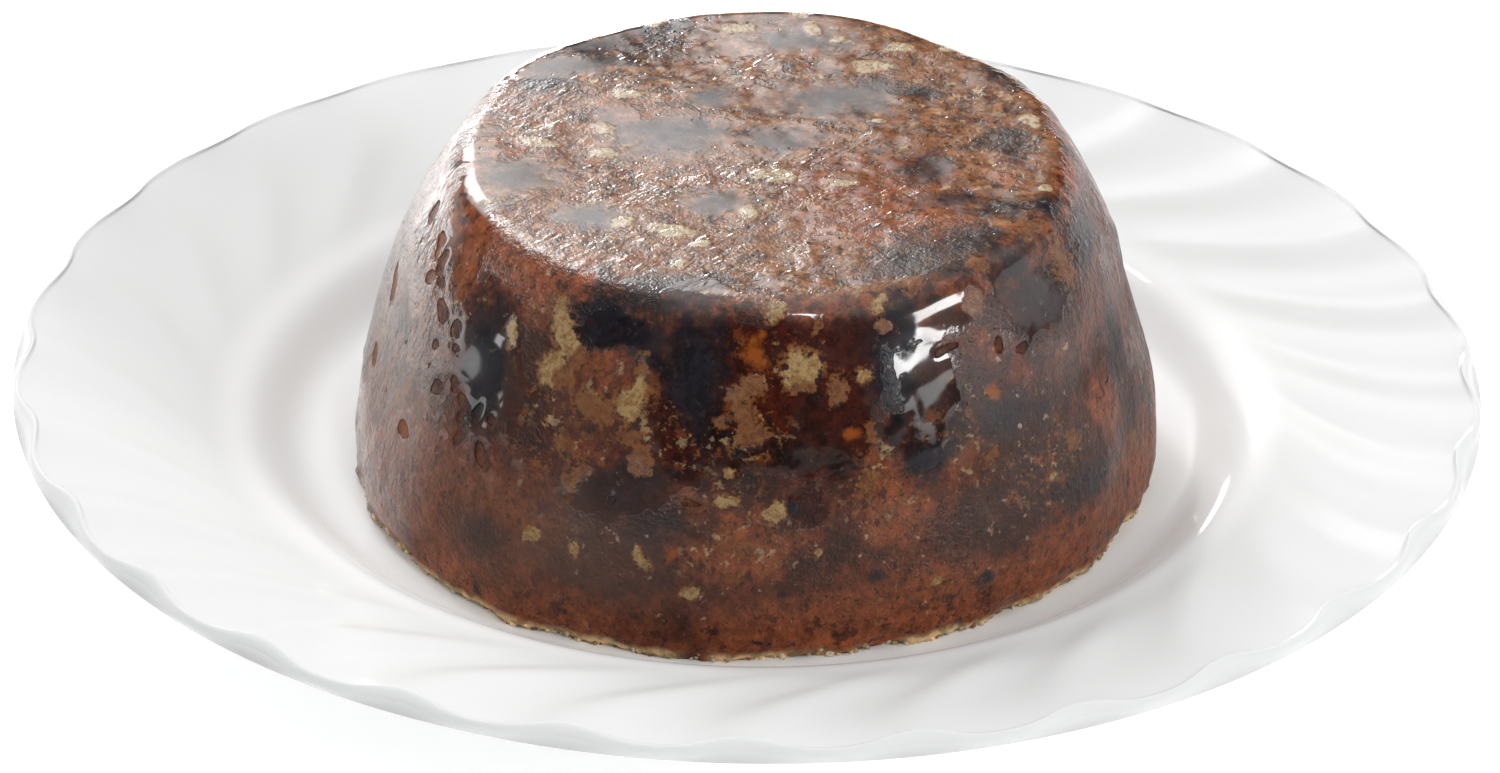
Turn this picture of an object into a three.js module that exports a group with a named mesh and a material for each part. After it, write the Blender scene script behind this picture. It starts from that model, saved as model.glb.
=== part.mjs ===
// A Christmas pudding turned out of its basin onto a white plate with a swirled, scalloped rim.
// Millimetres, +Z up. The origin is the centre of the plate's foot ring, on the table.
// Each piece is a lathe turning whose points are then moved: the plate's into the flutes of its
// rim, the pudding's into the slump, the tilt, the soft lumps and the ragged foot of a moist pudding.
import * as THREE from "three";

const { lerp, degToRad } = THREE.MathUtils;

// Plate, an eight inch dessert plate.
const PLATE_RADIUS = 101.5;
const LIP_HEIGHT = 17.7; // top of the lip, in the middle of a lobe
const LIP_THICKNESS = 2.3;
const FLOOR_HEIGHT = 5.3; // top of the well's floor
const FLOOR_THICKNESS = 3.3;
const FLOOR_RADIUS = 61;
const SHOULDER_RADIUS = 70.6; // where the wall of the well turns over into the rim
const SHOULDER_HEIGHT = 10.7;
const WALL_THICKNESS = 3.6;
const FOOT_RADIUS = 60; // middle of the foot ring
const FOOT_WIDTH = 2.6;

// Flutes of the rim: each lobe is a shallow scoop between two raised creases.
const LOBES = 28;
const STEPS_A_LOBE = 6;
const CREASE_INSET = 1.8; // how far a crease pulls the lip in
const CREASE_RISE = 0.75; // how far a crease stands above the lobes
const CREASE_SHARPNESS = 1.4;
const SWIRL = degToRad(18.7); // how far a crease turns between the lip and the shoulder
const SWIRL_POWER = 2.3;

// Pudding, one pound. Its side runs up from the foot in a slight bulge, as [share of the base's
// radius, share of the height], and then over a tight rounded edge onto a flat top.
const PUDDING_HEIGHT = 47.4;
const PUDDING_BASE = 55; // radius
const SIDE = [
  [0.985, 0], [1, 0.03], [1.007, 0.1], [0.993, 0.25], [0.934, 0.5], [0.868, 0.75], [0.804, 0.9],
];
const SIDE_STEPS = 12;
const EDGE_CORNER = 42; // radius where the side would meet the top if the edge were sharp
const EDGE_ROUNDNESS = 0.72; // 0 is a bevel, 1 a sharp edge
const EDGE_STEPS = 6;
const TOP_RADIUS = 38.8; // of the flat part
const PUDDING_PLACE = new THREE.Vector2(0.5, -5.1); // its centre, from the plate's centre
const LEAN = 0.017; // sideways, for each millimetre of height
const TILT = { rise: 0.029, angle: degToRad(74) }; // how far the top rises, for each millimetre
const REST_GAP = 0.3; // between the pudding and the floor under it
const PUDDING_STEPS = 100;

// Relief of the pudding.
const SLUMP = { depth: 0.65, corners: 3, angle: degToRad(-119) };
const LUMPS = { depth: 0.22, topShare: 0.5, count: 24, shortest: 14, longest: 36 };
const CRUMBLY_FOOT = { depth: 0.5, height: 3.5, waves: [11, 17, 23, 31, 37] };
const NOTCH = { depth: 1.6, width: 2.4, height: 4, angle: degToRad(-19) };

const smooth = (share) => THREE.MathUtils.smoothstep(share, 0, 1);

// A repeatable random number from 0 to 1.
function seededRandom(seed) {
  let state = seed;
  return () => {
    state = (state * 1664525 + 1013904223) % 2 ** 32;
    return state / 2 ** 32;
  };
}

// Turns a profile about Z. move(angle, point) places each turned point of the profile, as
// { angle, radius, height }. The profile starts and ends on the axis, from below to above.
function turn(profile, steps, move) {
  const outline = profile.map((point) => new THREE.Vector2(point.radius, point.height));
  const geometry = new THREE.LatheGeometry(outline, steps).rotateX(Math.PI / 2);
  const position = geometry.getAttribute("position");
  for (let i = 0; i < position.count; i++) {
    const step = Math.floor(i / profile.length);
    const start = (2 * Math.PI * step) / steps - Math.PI / 2;
    const { angle, radius, height } = move(start, profile[i % profile.length]);
    position.setXYZ(i, radius * Math.cos(angle), radius * Math.sin(angle), height);
  }
  return geometry;
}

// The plate's outline, from the middle of its underside round the lip to the middle of its floor.
// rise and pull are how much of a crease's rise and inset each point takes, and swirl is how far
// it has turned with the creases.
function plateProfile() {
  const plain = (radius, height, swirl = 0) => ({ radius, height, rise: 0, pull: 0, swirl });
  const underFloor = FLOOR_HEIGHT - FLOOR_THICKNESS;
  const underLip = LIP_HEIGHT - LIP_THICKNESS;
  const underside = [
    plain(0, underFloor),
    plain(FOOT_RADIUS - FOOT_WIDTH, underFloor),
    plain(FOOT_RADIUS - FOOT_WIDTH / 2, 0),
    plain(FOOT_RADIUS + FOOT_WIDTH / 2, 0),
    plain(FOOT_RADIUS + FOOT_WIDTH, underFloor + 0.6),
    plain(SHOULDER_RADIUS + 2, SHOULDER_HEIGHT - WALL_THICKNESS),
    plain(lerp(SHOULDER_RADIUS, PLATE_RADIUS, 0.5), lerp(SHOULDER_HEIGHT, LIP_HEIGHT, 0.55) - 3.2),
    plain(PLATE_RADIUS - 0.7, underLip),
    plain(PLATE_RADIUS, underLip + 0.5),
  ];
  const lip = [
    { radius: PLATE_RADIUS, height: LIP_HEIGHT - 0.8, rise: 0.6, pull: 0.6, swirl: 0 },
    { radius: PLATE_RADIUS - 0.5, height: LIP_HEIGHT, rise: 1, pull: 1, swirl: 0 },
  ];
  const rim = [0.94, 0.82, 0.64, 0.45, 0.26, 0.1].map((share) => ({
    radius: lerp(SHOULDER_RADIUS, PLATE_RADIUS, share),
    height: lerp(SHOULDER_HEIGHT, LIP_HEIGHT, share ** 0.9),
    rise: smooth(share / 0.5),
    pull: share ** 6,
    swirl: SWIRL * (1 - share) ** SWIRL_POWER,
  }));
  const wall = [0.75, 0.5, 0.25].map((share) => plain(
    lerp(FLOOR_RADIUS, SHOULDER_RADIUS, share),
    lerp(FLOOR_HEIGHT, SHOULDER_HEIGHT, smooth(share)),
    SWIRL,
  ));
  return [
    ...underside,
    ...lip,
    ...rim,
    plain(SHOULDER_RADIUS, SHOULDER_HEIGHT, SWIRL),
    ...wall,
    plain(FLOOR_RADIUS, FLOOR_HEIGHT, SWIRL),
    plain(0, FLOOR_HEIGHT, SWIRL),
  ];
}

// 0 in the middle of a lobe, 1 on a crease.
function creaseAt(angle) {
  return ((1 + Math.cos(angle * LOBES)) / 2) ** CREASE_SHARPNESS;
}

function flute(angle, { radius, height, rise, pull, swirl }) {
  const crease = creaseAt(angle);
  return {
    angle: angle + swirl,
    radius: radius - CREASE_INSET * pull * crease,
    height: height + CREASE_RISE * rise * (crease - 0.2),
  };
}

function puddingProfile() {
  const side = SIDE.map(([out, up]) => new THREE.Vector2(PUDDING_BASE * out, PUDDING_HEIGHT * up));
  const start = side.at(-1);
  const corner = new THREE.Vector2(EDGE_CORNER, PUDDING_HEIGHT);
  const flat = new THREE.Vector2(TOP_RADIUS, PUDDING_HEIGHT);
  const edge = new THREE.CubicBezierCurve(
    start,
    start.clone().lerp(corner, EDGE_ROUNDNESS),
    flat.clone().lerp(corner, EDGE_ROUNDNESS),
    flat,
  );
  const ring = (share, height) => new THREE.Vector2(TOP_RADIUS * share, height);
  return [
    ring(0, 0),
    ring(0.8, 0),
    ...new THREE.SplineCurve(side).getPoints(SIDE_STEPS),
    ...edge.getPoints(EDGE_STEPS).slice(1),
    ...[0.75, 0.5, 0.25, 0].map((share) => ring(share, PUDDING_HEIGHT)),
  ].map(({ x, y }) => ({ radius: x, height: y }));
}

// Soft lumps: long waves that run through the pudding in seeded directions.
function makeLumps() {
  const random = seededRandom(7);
  const waves = Array.from({ length: LUMPS.count }, () => ({
    run: new THREE.Vector3(random() - 0.5, random() - 0.5, random() - 0.5)
      .normalize()
      .multiplyScalar((2 * Math.PI) / lerp(LUMPS.shortest, LUMPS.longest, random())),
    phase: 2 * Math.PI * random(),
  }));
  const height = LUMPS.depth * Math.sqrt(2 / LUMPS.count);
  return (point) => waves.reduce(
    (sum, wave) => sum + height * Math.sin(wave.run.dot(point) + wave.phase), 0);
}

// The uneven line where the pudding meets the plate.
function crumblyFoot(angle) {
  const height = CRUMBLY_FOOT.depth / Math.sqrt(CRUMBLY_FOOT.waves.length);
  return CRUMBLY_FOOT.waves.reduce(
    (sum, wave) => sum + height * Math.sin(wave * angle + wave * wave), 0);
}

function makeSlump() {
  const lumpAt = makeLumps();
  return (angle, { radius, height }) => {
    const lump = lumpAt(new THREE.Vector3(radius * Math.cos(angle), radius * Math.sin(angle), height));
    const low = smooth(1 - height / PUDDING_HEIGHT);
    const corner = SLUMP.depth * low * Math.cos(SLUMP.corners * (angle - SLUMP.angle));
    const crumbs = crumblyFoot(angle) * smooth(1 - height / CRUMBLY_FOOT.height);
    const along = ((angle - NOTCH.angle) * PUDDING_BASE) / NOTCH.width;
    const bite = NOTCH.depth * Math.exp(-(along ** 2)) * smooth(1 - height / NOTCH.height);
    const outwards = smooth(radius / TOP_RADIUS);
    const onTop = smooth(1 - (PUDDING_HEIGHT - height) / (EDGE_CORNER - TOP_RADIUS));
    const tilt = TILT.rise * radius * Math.cos(angle - TILT.angle) * (height / PUDDING_HEIGHT);
    return {
      angle,
      radius: radius + outwards * (corner + lump + crumbs - bite),
      height: height + LUMPS.topShare * lump * onTop + tilt,
    };
  };
}

function plate() {
  const mesh = new THREE.Mesh(
    turn(plateProfile(), LOBES * STEPS_A_LOBE, flute),
    new THREE.MeshStandardMaterial({ color: 0xf1f1ef, roughness: 0.15, metalness: 0 }),
  );
  mesh.name = "plate";
  return mesh;
}

function pudding() {
  const lean = new THREE.Matrix4().makeShear(0, 0, 0, 0, LEAN, 0);
  const mesh = new THREE.Mesh(
    turn(puddingProfile(), PUDDING_STEPS, makeSlump()).applyMatrix4(lean),
    new THREE.MeshStandardMaterial({ color: 0x4a2a1e, roughness: 0.3, metalness: 0 }),
  );
  mesh.name = "pudding";
  mesh.position.set(PUDDING_PLACE.x, PUDDING_PLACE.y, FLOOR_HEIGHT + REST_GAP);
  return mesh;
}

const served = new THREE.Group();
served.add(plate(), pudding());
export default served;
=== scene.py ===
"""A Christmas pudding on a white plate with a swirled, scalloped rim.

Both pieces are turned from the same outlines as the CAD solids they replace, with many more
points, so that they can carry the fruit, the syrup film, the crumb and the ragged foot.
Lengths in this script are millimetres, and MM turns them into Blender's metres.
"""

import itertools
from collections import namedtuple
from math import cos, hypot, pi, radians, sin, sqrt

import bmesh
import bpy
import numpy as np
from mathutils import Matrix, Vector
from mathutils.bvhtree import BVHTree


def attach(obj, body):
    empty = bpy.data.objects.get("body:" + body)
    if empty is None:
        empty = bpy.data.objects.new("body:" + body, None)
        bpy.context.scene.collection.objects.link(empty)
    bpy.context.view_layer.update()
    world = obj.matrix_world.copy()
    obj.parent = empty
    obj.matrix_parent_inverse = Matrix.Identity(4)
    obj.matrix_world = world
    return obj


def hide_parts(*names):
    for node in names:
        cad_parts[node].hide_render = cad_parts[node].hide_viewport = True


MM = 0.001

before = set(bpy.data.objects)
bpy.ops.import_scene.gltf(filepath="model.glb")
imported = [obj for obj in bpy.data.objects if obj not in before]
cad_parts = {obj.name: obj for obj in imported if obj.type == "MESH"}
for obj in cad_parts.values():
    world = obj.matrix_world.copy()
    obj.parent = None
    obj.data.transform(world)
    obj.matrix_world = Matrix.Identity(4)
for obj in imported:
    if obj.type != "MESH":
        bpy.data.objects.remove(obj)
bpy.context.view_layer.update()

# ---- the photograph's camera

FRAME_WIDTH = 1500
FRAME_HEIGHT = 773
SENSOR_WIDTH = 36.0
LENS = 167.4
CAMERA_ELEVATION = radians(29.1)
CAMERA_ROLL = radians(1.2)
CAMERA_DISTANCE = 967.0
CAMERA_AIM = np.array([0.0, 0.0, 17.4])
SHIFT_ACROSS = 0.0014  # shares of the frame's width
SHIFT_UP = -0.0168

# The camera's axes, before its roll
CAMERA_BACK = np.array([0.0, -cos(CAMERA_ELEVATION), sin(CAMERA_ELEVATION)])
CAMERA_UP = np.array([0.0, sin(CAMERA_ELEVATION), cos(CAMERA_ELEVATION)])
CAMERA_RIGHT = np.array([1.0, 0.0, 0.0])
CAMERA_PLACE = CAMERA_AIM + CAMERA_DISTANCE * CAMERA_BACK


def add_camera():
    data = bpy.data.cameras.new("camera")
    data.sensor_width = SENSOR_WIDTH
    data.lens = LENS
    data.shift_x = SHIFT_ACROSS
    data.shift_y = SHIFT_UP
    data.clip_start = 0.05
    data.clip_end = 50
    camera = bpy.data.objects.new("camera", data)
    turn = Matrix((CAMERA_RIGHT, CAMERA_UP, CAMERA_BACK)).transposed()
    roll = Matrix.Rotation(CAMERA_ROLL, 3, "Z")
    rotation = (turn @ roll).to_quaternion()
    camera.matrix_world = Matrix.LocRotScale(Vector(CAMERA_PLACE * MM), rotation, None)
    bpy.context.scene.collection.objects.link(camera)
    bpy.context.scene.camera = camera


def sight_line(across, down):
    """The direction, from the camera, of a place in the photograph's frame."""
    x = across - FRAME_WIDTH / 2 + SHIFT_ACROSS * FRAME_WIDTH
    y = FRAME_HEIGHT / 2 - down + SHIFT_UP * FRAME_WIDTH
    level_x = x * cos(CAMERA_ROLL) - y * sin(CAMERA_ROLL)
    level_y = x * sin(CAMERA_ROLL) + y * cos(CAMERA_ROLL)
    away = LENS * FRAME_WIDTH / SENSOR_WIDTH
    direction = level_x * CAMERA_RIGHT + level_y * CAMERA_UP - away * CAMERA_BACK
    return direction / np.linalg.norm(direction)


# ---- random numbers and noise

SCATTER_PLACE = np.array([73856093, 19349663, 83492791])  # large odd numbers, for the noise's hash
SCATTER_SEED = 2654435761
SCATTER_AGAIN = 1274126177


def smooth(share):
    """A soft step: 0 up to 0, and 1 from 1 on."""
    share = np.clip(share, 0, 1)
    return share * share * (3 - 2 * share)


def seeded_random(seed):
    """The same repeatable random numbers as the CAD source's."""
    state = seed
    while True:
        state = (state * 1664525 + 1013904223) % 2**32
        yield state / 2**32


def noise(points, size, seed):
    """Smooth random numbers from -1 to 1 that change over about `size` millimetres."""
    cell = points / size
    low = np.floor(cell).astype(np.int64)
    part = smooth(cell - low)
    total = np.zeros(len(points))
    for corner in itertools.product((0, 1), repeat=3):
        scattered = (low + corner) * SCATTER_PLACE
        mixed = scattered[:, 0] ^ scattered[:, 1] ^ scattered[:, 2] ^ (seed * SCATTER_SEED)
        mixed = ((mixed ^ (mixed >> 13)) * SCATTER_AGAIN) & 0xFFFFFFFF
        value = (mixed ^ (mixed >> 16)) / 0xFFFFFFFF * 2 - 1
        total += value * np.prod(np.where(corner, part, 1 - part), axis=1)
    return total


def rough_noise(points, size, seed, octaves=3):
    """Noise with finer noise on it."""
    return sum(noise(points, size / 2**i, seed + i) / 2**i for i in range(octaves))


# ---- meshes


def make_object(name, points, faces, material, attributes=None):
    mesh = bpy.data.meshes.new(name)
    mesh.from_pydata((np.asarray(points) * MM).tolist(), [], faces)
    mesh.shade_smooth()
    for key, values in (attributes or {}).items():
        layer = mesh.attributes.new(key, "FLOAT", "POINT")
        layer.data.foreach_set("value", np.asarray(values, np.float32))
    mesh.materials.append(material)
    thing = bpy.data.objects.new(name, mesh)
    bpy.context.scene.collection.objects.link(thing)
    return thing


def ring_faces(rows, columns):
    """Quads between rings of points; ring r holds the points from r * columns on."""
    row, column = np.meshgrid(np.arange(rows - 1), np.arange(columns), indexing="ij")
    following = (column + 1) % columns
    corners = (
        row * columns + column,
        row * columns + following,
        (row + 1) * columns + following,
        (row + 1) * columns + column,
    )
    return np.stack(corners, -1).reshape(-1, 4)


def vertex_normals(points, faces):
    """Unit normals of the points of a mesh of quads."""
    corner = points[faces]
    face_normal = np.cross(corner[:, 2] - corner[:, 0], corner[:, 3] - corner[:, 1])
    total = np.zeros_like(points)
    for i in range(4):
        np.add.at(total, faces[:, i], face_normal)
    return total / np.maximum(np.linalg.norm(total, axis=1, keepdims=True), 1e-9)


# ---- materials


class Nodes:
    """A tree of shader nodes, built one by one. Sizes are in millimetres."""

    def __init__(self, tree, place):
        self.tree = tree
        tree.nodes.clear()
        self.place = self.add("ShaderNodeTexCoord").outputs[place]

    def add(self, kind, inputs=None, **settings):
        node = self.tree.nodes.new(kind)
        for key, value in settings.items():
            setattr(node, key, value)
        for key, value in (inputs or {}).items():
            self.put(node.inputs[key], value)
        return node

    def put(self, socket, value):
        if isinstance(value, bpy.types.NodeSocket):
            self.tree.links.new(value, socket)
        elif isinstance(value, tuple) and socket.type == "RGBA" and len(value) == 3:
            socket.default_value = (*value, 1)
        else:
            socket.default_value = value

    def operate(self, kind, operation, values):
        return self.add(kind, dict(enumerate(values)), operation=operation).outputs

    def vector(self, operation, *values):
        return self.operate("ShaderNodeVectorMath", operation, values)["Vector"]

    def along(self, axis):
        """How far the place lies along an axis."""
        return self.operate("ShaderNodeVectorMath", "DOT_PRODUCT", (self.place, axis))["Value"]

    def math(self, operation, *values):
        return self.operate("ShaderNodeMath", operation, values)[0]

    def sum(self, a, b):
        return self.math("ADD", a, b)

    def scaled(self, value, by, plus):
        return self.math("MULTIPLY_ADD", value, by, plus)

    def rest(self, value):
        """What is left of 1."""
        return self.math("SUBTRACT", 1.0, value)

    def times(self, *values):
        product = values[0]
        for value in values[1:]:
            product = self.math("MULTIPLY", product, value)
        return product

    def between(self, value, low, high, to_low=0.0, to_high=1.0, curve="SMOOTHSTEP"):
        """A soft step from to_low to to_high, as value goes from low to high."""
        ends = {"Value": value, "From Min": low, "From Max": high, "To Min": to_low, "To Max": to_high}
        return self.add("ShaderNodeMapRange", ends, interpolation_type=curve).outputs["Result"]


class Shader(Nodes):
    """One material."""

    def __init__(self, name):
        self.material = bpy.data.materials.new(name)
        self.material.use_nodes = True
        super().__init__(self.material.node_tree, "Object")
        self.surface = self.add("ShaderNodeBsdfPrincipled")
        self.add("ShaderNodeOutputMaterial", {"Surface": self.surface.outputs["BSDF"]})

    def set(self, **values):
        """Sets the surface's own sockets: base_color=..., roughness=..."""
        sockets = {socket.name.lower().replace(" ", "_"): socket for socket in self.surface.inputs}
        for key, value in values.items():
            self.put(sockets[key], value)

    def mask(self, name):
        """One of the mesh's own attributes."""
        return self.add("ShaderNodeAttribute", attribute_name=name).outputs["Fac"]

    def noise(self, size, detail=2.0, roughness=0.5, distortion=0.0, place=None, output="Fac"):
        inputs = {"Vector": place or self.place, "Scale": 1 / (size * MM), "Detail": detail}
        inputs |= {"Roughness": roughness, "Distortion": distortion}
        return self.add("ShaderNodeTexNoise", inputs).outputs[output]

    def cloud(self, size, low, high, to_low=0.0, to_high=1.0, **settings):
        """Noise with its level from low to high drawn out into a soft step."""
        return self.between(self.noise(size, **settings), low, high, to_low, to_high)

    def moved(self, place, by):
        return self.vector("ADD", place, (by, by, by))

    def warped(self, size, amount, place=None):
        """The place, moved about by noise, so that what is drawn there gets an uneven outline."""
        push = self.noise(size, place=place, output="Color")
        reach = 2 * amount * MM
        return self.vector("MULTIPLY_ADD", push, (reach, reach, reach), place or self.place)

    def pieces(self, size, share, place, start=0.0, softness=0.12, smallest=0.12, largest=0.42):
        """The mask of scattered pieces, in `share` of cells of `size`; start gives other cells."""
        inputs = {"Vector": self.moved(place, start), "Scale": 1 / (size * MM)}
        cells = self.add("ShaderNodeTexVoronoi", inputs).outputs
        pick, extent, _ = self.add("ShaderNodeSeparateColor", {0: cells["Color"]}).outputs
        chosen = self.between(pick, 1 - share, 1 - share + 0.01)
        reach = self.scaled(extent, largest - smallest, smallest)
        inner = self.math("SUBTRACT", reach, softness)
        return self.times(self.between(cells["Distance"], reach, inner), chosen)

    def mix(self, share, a, b):
        node = self.add("ShaderNodeMix", {"Factor": share}, data_type="RGBA")
        colours = [socket for socket in node.inputs if socket.type == "RGBA"]
        self.put(colours[0], a)
        self.put(colours[1], b)
        return next(socket for socket in node.outputs if socket.type == "RGBA")

    def layered(self, colour, *layers):
        """The colour under layers of (mask, colour)."""
        for mask, tint in layers:
            colour = self.mix(mask, colour, tint)
        return colour

    def dimmed(self, colour, by):
        return self.vector("MULTIPLY", colour, self.vector("MULTIPLY", (1, 1, 1), by))

    def bump(self, height, distance, normal=None, strength=1.0):
        inputs = {"Distance": distance * MM, "Strength": strength, "Height": height}
        if normal:
            inputs["Normal"] = normal
        return self.add("ShaderNodeBump", inputs).outputs["Normal"]

    def relief(self, skin, *layers):
        """The skin's normal under layers of (height, how far it stands out, strength)."""
        for height, distance, strength in layers:
            skin = self.bump(height, distance, skin, strength)
        return skin


GLAZE = (0.885, 0.890, 0.890)
WHITE_GLAZE = (0.905, 0.910, 0.910)
# The rim's glaze is painted darker than the well's: painted shade on the brightly lit rim.
SHADED_RIM_GLAZE = (0.805, 0.810, 0.810)
GLAZE_SPECK = (0.80, 0.79, 0.77)


def porcelain():
    look = Shader("white_porcelain")
    on_rim = look.mask("on_rim")
    glaze = look.mix(look.noise(38), GLAZE, WHITE_GLAZE)
    # painted shade: the rim gets the darker glaze
    glaze = look.mix(on_rim, glaze, SHADED_RIM_GLAZE)
    speck = look.pieces(6, 0.2, look.place, softness=0.01, smallest=0.01, largest=0.03)
    polish = look.cloud(14, 0.3, 0.7, 0.05, 0.09, detail=3)
    look.set(
        base_color=look.mix(speck, glaze, GLAZE_SPECK),
        roughness=look.scaled(on_rim, 0.06, polish),
        normal=look.bump(look.noise(9, detail=1), 0.02),
        ior=1.52,
        specular_ior_level=0.04,
    )
    return look.material


# The crumb and the syrup
BROWN = (0.115, 0.029, 0.014)
DEEP_BROWN = (0.032, 0.010, 0.007)
RED_BROWN = (0.140, 0.030, 0.010)
ORANGE_BROWN = (0.240, 0.068, 0.018)
GLOW_BROWN = (0.262, 0.069, 0.023)
BLACK_BROWN = (0.011, 0.005, 0.004)
CLEAR_RED = (0.046, 0.008, 0.004)
# The red band under the top edge is painted lighter: painted light where the rounded edge turns up.
LIT_BAND_RED = (0.270, 0.072, 0.024)
CRUMB = (0.300, 0.134, 0.061)
DARK_CRUMB = (0.105, 0.040, 0.019)
# A pale sheen painted over the side's duller syrup: painted reflection.
SIDE_SHEEN = (0.150, 0.078, 0.054)
# A paler line painted along the edges of the clear syrup: painted sheen.
SHORE_SHEEN = (0.240, 0.150, 0.120)
# Pale flecks painted as glints where the crumb sparkles: painted highlights.
GLINT = (0.400, 0.270, 0.170)
# The fruit and the nuts
RAISIN = (0.012, 0.010, 0.014)
CREAM = (0.400, 0.280, 0.150)
PALE_CREAM = (0.590, 0.480, 0.330)
NUT = (0.275, 0.155, 0.055)
PALE_NUT = (0.400, 0.270, 0.115)
TAN = (0.220, 0.086, 0.026)
PEEL = (0.300, 0.075, 0.011)
# The foot, painted pale: painted light, for the light that the plate throws into it
LIT_OLIVE = (0.380, 0.300, 0.150)
LIT_FOOT_AMBER = (0.900, 0.610, 0.320)

STREAK_ANGLE = radians(40)  # of the fine ridges on the top
STREAK_STRETCH = (0.40, 1.0, 1.0)  # draws them out along their own direction
FLECK_SPREAD = 0.13  # of the noise whose level lines are the flecks' outlines
CROWDING = 0.055  # how far a full crowd lowers that level


def crumb_colour(look):
    """Dark crumb on the side, paler on the top, clouded and mottled at every size."""
    grain = look.cloud(3.0, 0.36, 0.60, detail=5, roughness=0.65)
    return look.layered(
        DEEP_BROWN,
        (look.cloud(9, 0.38, 0.62, detail=5, roughness=0.65), BROWN),
        (look.cloud(4.5, 0.46, 0.70, to_high=0.8, detail=4, distortion=0.7), RED_BROWN),
        (look.mask("pale"), look.mix(grain, DARK_CRUMB, CRUMB)),
        (look.mask("amber"), GLOW_BROWN),
        (look.times(look.mask("deep"), 0.85), DEEP_BROWN),
    )


def syrup_colour(look, colour):
    """The clear syrup, dark or red, and the red band under the edge, painted lighter as painted light,
    over the crumb.
    """
    clear = look.mask("clear")
    red = look.mask("red")
    murky = look.mix(red, DEEP_BROWN, CLEAR_RED)
    depth = look.mix(look.cloud(3.2, 0.40, 0.58, detail=4), BLACK_BROWN, murky)
    depth = look.mix(look.times(red, 0.75), depth, CLEAR_RED)
    band = look.times(look.mask("band"), look.rest(clear))
    band = look.times(band, look.cloud(3.2, 0.40, 0.58, to_high=0.95, detail=4, roughness=0.65))
    return look.layered(colour, (clear, depth), (band, LIT_BAND_RED))


def flecks(look, size, share, start, strength=1.0, detail=4.0, crowd=0.0):
    """The mask of ragged flecks over `share` of the surface; start gives each kind its own noise."""
    field = look.noise(size, detail=detail, roughness=0.62, place=look.moved(look.place, start))
    level = 0.5 + FLECK_SPREAD * (1.0 - 2.0 * share)
    mask = look.between(look.scaled(crowd, CROWDING, field), level, level + 0.05)
    return look.times(mask, strength)


def flecked_colour(look, colour):
    """Flecks of every size over the colour, with the raisins among them."""
    uneven = look.scaled(look.noise(1.1, detail=4, roughness=0.65), 0.9, -0.45)
    raisin = look.between(look.sum(look.mask("raisin"), uneven), 0.12, 0.80)
    raisin = look.times(raisin, look.scaled(look.mask("pale"), -0.2, 1.0))
    crowd = look.times(look.mask("crowd"), look.rest(look.times(raisin, 0.9)))
    colour = look.layered(
        colour,
        (flecks(look, 2.8, 0.20, 0.113, 0.75), DEEP_BROWN),
        (flecks(look, 3.0, 0.14, 0.231, look.times(crowd, 0.9), crowd=crowd), ORANGE_BROWN),
        (flecks(look, 2.4, 0.05, 0.347, crowd, crowd=crowd), TAN),
        (flecks(look, 1.0, 0.10, 0.471, 0.7, detail=2), BLACK_BROWN),
        (raisin, RAISIN),
        (flecks(look, 2.0, 0.0, 0.593, crowd, crowd=crowd), CREAM),
        (flecks(look, 1.0, 0.0, 0.717, look.times(crowd, 0.8), detail=2, crowd=crowd), TAN),
        # painted glints: pale flecks where the crumb sparkles
        (flecks(look, 1.6, 0.0, 0.829, look.mask("sparkle"), detail=6), GLINT),
    )
    return look.dimmed(colour, look.cloud(1.8, 0.37, 0.65, 0.60, 1.45, detail=6, roughness=0.8))


def nut_colour(look):
    """The flesh of the nuts, creamy or toasted, and paler on the top."""
    upper = look.mask("pale")
    plain = look.mix(upper, NUT, CREAM)
    flesh = look.layered(
        plain,
        (look.cloud(1.1, 0.42, 0.56, detail=5, roughness=0.7), look.mix(upper, PALE_NUT, PALE_CREAM)),
        (look.cloud(0.6, 0.52, 0.64, to_high=0.7, detail=3), TAN),
    )
    toast = look.noise(1.5, detail=4, roughness=0.7)
    toasted = look.layered(
        RED_BROWN,
        (look.between(toast, 0.42, 0.52), ORANGE_BROWN),
        (look.between(toast, 0.52, 0.62), TAN),
        (look.times(look.between(toast, 0.60, 0.68), look.scaled(upper, 0.5, 0.5)), plain),
    )
    toasted = look.dimmed(toasted, look.scaled(upper, 0.28, 0.72))
    return look.mix(look.mask("toasted"), flesh, toasted)


def pudding_colour(look):
    """The crumb and its syrup, the flecks and raisins, and the peel and nuts that show in them."""
    ragged = look.scaled(look.noise(0.9, detail=4, roughness=0.7), 0.8, -0.4)
    peel = look.between(look.sum(look.mask("peel"), ragged), 0.16, 0.76)
    nut = look.sum(look.mask("nut"), ragged)
    rind = look.times(look.between(nut, 0.20, 0.44), look.cloud(0.9, 0.40, 0.58, detail=3))
    return look.layered(
        flecked_colour(look, syrup_colour(look, crumb_colour(look))),
        # the pale sheen painted over the side: painted reflection
        (look.times(look.mask("haze"), 0.18), SIDE_SHEEN),
        # the paler line along the clear syrup's edges: painted sheen
        (look.between(look.mask("shore"), 0.55, 0.95, to_high=0.4), SHORE_SHEEN),
        (look.times(peel, 0.8), PEEL),
        (look.times(rind, 0.8), TAN),
        (look.times(look.between(nut, 0.42, 0.56), 0.92), nut_colour(look)),
        # the pale line at the foot: painted light
        (look.mask("foot_line"), look.mix(look.cloud(1.6, 0.42, 0.56, detail=3), LIT_OLIVE, LIT_FOOT_AMBER)),
    )


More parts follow.
